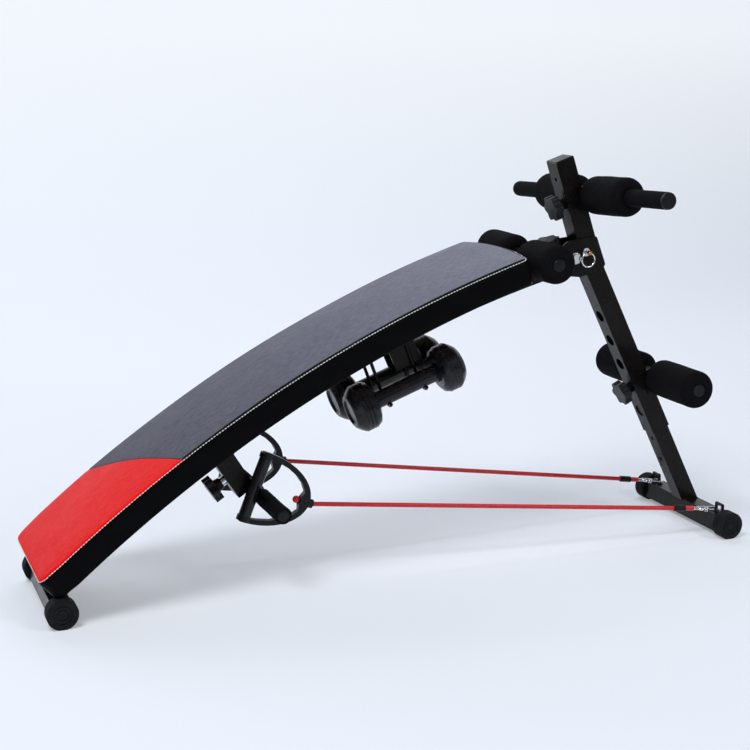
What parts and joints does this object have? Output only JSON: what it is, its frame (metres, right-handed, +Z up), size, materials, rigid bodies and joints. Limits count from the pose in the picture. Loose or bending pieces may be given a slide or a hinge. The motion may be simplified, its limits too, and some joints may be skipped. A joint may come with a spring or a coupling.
{
  "type": "decline sit-up bench",
  "caption": "Folding decline sit-up bench with a curved padded board, foam roller bars, elastic pull ropes and dumbbells held under the board.",
  "frame": {"origin": "on the floor, at the middle of the bench's length and width", "axes": "+X from the tail foot to the post, +Y across the bench to the far side, +Z up"},
  "size_m": [1.3103, 0.5626, 0.7193],
  "materials": {
    "black_steel": "fine-texture powder coat",
    "black_foam": "matte closed-cell foam",
    "black_rubber": "ribbed rubber",
    "black_plastic": "moulded",
    "gloss_black": "glossy moulded",
    "dumbbell_vinyl": "dipped vinyl",
    "bright_steel": "bright plated",
    "red_latex": "smooth latex",
    "red_plastic": "moulded",
    "pad_vinyl": "grained vinyl with a red tail panel",
    "plywood": "plywood"
  },
  "bodies": {
    "bench": {"tail_foot_tube": "black_steel", "tail_caps": "black_rubber", "main_tube": "black_steel", "board_base": "plywood", "board_pad": "pad_vinyl", "fold_plates": "black_steel", "pivot_bolt": "bright_steel", "mid_strap": "black_steel", "mid_bar": "black_steel", "mid_plugs": "black_plastic", "rest_bracket": "black_steel", "rest_nut": "bright_steel", "rest_stem": "black_steel", "rest_bar": "black_steel", "rest_foams": "black_foam", "stirrup_near": "black_plastic", "stirrup_far": "black_plastic", "hand_grip_near": "gloss_black", "hand_grip_far": "gloss_black", "rope_knots": "red_latex", "rope_near": "red_latex", "rope_far": "red_latex", "hanger_rods": "black_steel", "hanger_bracket": "black_steel"},
    "post": {"front_foot_tube": "black_steel", "front_caps": "black_rubber", "post_column": "black_steel", "post_top_plug": "black_plastic", "post_leg": "black_steel", "low_saddle": "black_steel", "low_bar": "black_steel", "low_plugs": "black_plastic", "top_saddle": "black_steel", "top_bar": "black_steel", "top_plugs": "black_plastic", "top_grips": "black_foam", "foot_eyes": "black_steel", "snap_hook_near": "bright_steel", "snap_hook_far": "bright_steel", "rope_straps": "red_plastic", "rope_ferrules": "black_plastic"},
    "lock_pin": {"lock_pin": "bright_steel"},
    "lock_ring": {"lock_ring": "bright_steel"},
    "low_roller_near": {"low_foam_near": "black_foam"},
    "low_roller_far": {"low_foam_far": "black_foam"},
    "mid_roller_near": {"mid_foam_near": "black_foam"},
    "mid_roller_far": {"mid_foam_far": "black_foam"},
    "top_roller_near": {"top_foam_near": "black_foam"},
    "top_roller_far": {"top_foam_far": "black_foam"},
    "low_knob": {"low_knob": "black_plastic"},
    "top_knob": {"top_knob": "black_plastic"},
    "mid_knob": {"mid_knob": "black_plastic"},
    "rest_knob": {"rest_knob": "black_plastic"},
    "dumbbell_near": {"dumbbell_near": "dumbbell_vinyl"},
    "dumbbell_far": {"dumbbell_far": "dumbbell_vinyl"},
    "snap_gate_near": {"snap_gate_near": "bright_steel"},
    "snap_gate_far": {"snap_gate_far": "bright_steel"}
  },
  "joints": [
    {"name": "post_fold", "type": "hinge", "parent": "bench", "child": "post", "pos_m": [0.34818, 0, 0.53305], "axis": [0, 1, 0], "range_deg": [0, 60], "deforming": ["rope_near", "rope_far"]},
    {"name": "lock_pin_slide", "type": "slide", "parent": "bench", "child": "lock_pin", "axis": [0, -1, 0], "range_m": [0, 0.065]},
    {"name": "lock_ring_swing", "type": "hinge", "parent": "lock_pin", "child": "lock_ring", "pos_m": [0.36818, -0.035, 0.54405], "axis": [-1, 0, 0], "range_deg": [0, 80]},
    {"name": "low_roller_near_spin", "type": "hinge", "parent": "post", "child": "low_roller_near", "pos_m": [0.53364, 0, 0.29788], "axis": [0, 1, 0], "continuous": true},
    {"name": "low_roller_far_spin", "type": "hinge", "parent": "post", "child": "low_roller_far", "pos_m": [0.53364, 0, 0.29788], "axis": [0, 1, 0], "continuous": true},
    {"name": "mid_roller_near_spin", "type": "hinge", "parent": "bench", "child": "mid_roller_near", "pos_m": [0.25438, 0, 0.53997], "axis": [0, 1, 0], "continuous": true},
    {"name": "mid_roller_far_spin", "type": "hinge", "parent": "bench", "child": "mid_roller_far", "pos_m": [0.25438, 0, 0.53997], "axis": [0, 1, 0], "continuous": true},
    {"name": "top_roller_near_spin", "type": "hinge", "parent": "post", "child": "top_roller_near", "pos_m": [0.3816, 0, 0.64692], "axis": [0.0155, 0.9988, -0.0463], "continuous": true},
    {"name": "top_roller_far_spin", "type": "hinge", "parent": "post", "child": "top_roller_far", "pos_m": [0.3816, 0, 0.64692], "axis": [0.0155, 0.9988, -0.0463], "continuous": true},
    {"name": "low_knob_turn", "type": "hinge", "parent": "post", "child": "low_knob", "pos_m": [0.48631, 0, 0.2747], "axis": [0.898, 0, 0.4399], "continuous": true},
    {"name": "top_knob_turn", "type": "hinge", "parent": "post", "child": "top_knob", "pos_m": [0.33162, 0, 0.6302], "axis": [0.9483, 0, 0.3173], "continuous": true},
    {"name": "mid_knob_turn", "type": "hinge", "parent": "bench", "child": "mid_knob", "pos_m": [0.30574, 0, 0.54303], "axis": [0.2514, 0, -0.9679], "continuous": true},
    {"name": "rest_knob_turn", "type": "hinge", "parent": "bench", "child": "rest_knob", "pos_m": [-0.31629, 0, 0.18101], "axis": [0.8425, 0, 0.5388], "continuous": true},
    {"name": "dumbbell_near_lift", "type": "slide", "parent": "bench", "child": "dumbbell_near", "axis": [0, -0.7071, 0.7071], "range_m": [0, 0.06]},
    {"name": "dumbbell_far_lift", "type": "slide", "parent": "bench", "child": "dumbbell_far", "axis": [0, 0.7071, 0.7071], "range_m": [0, 0.06]},
    {"name": "snap_gate_near_swing", "type": "hinge", "parent": "post", "child": "snap_gate_near", "pos_m": [0.60093, -0.10675, 0.0486], "axis": [0.1046, -0.0085, 0.9945], "range_deg": [0, 25], "stiffness_Nm_per_rad": 0.02, "springref_deg": -8.59},
    {"name": "snap_gate_far_swing", "type": "hinge", "parent": "post", "child": "snap_gate_far", "pos_m": [0.60137, 0.09411, 0.04965], "axis": [0.1489, -0.0051, 0.9888], "range_deg": [0, 25], "stiffness_Nm_per_rad": 0.02, "springref_deg": -8.59}
  ]
}
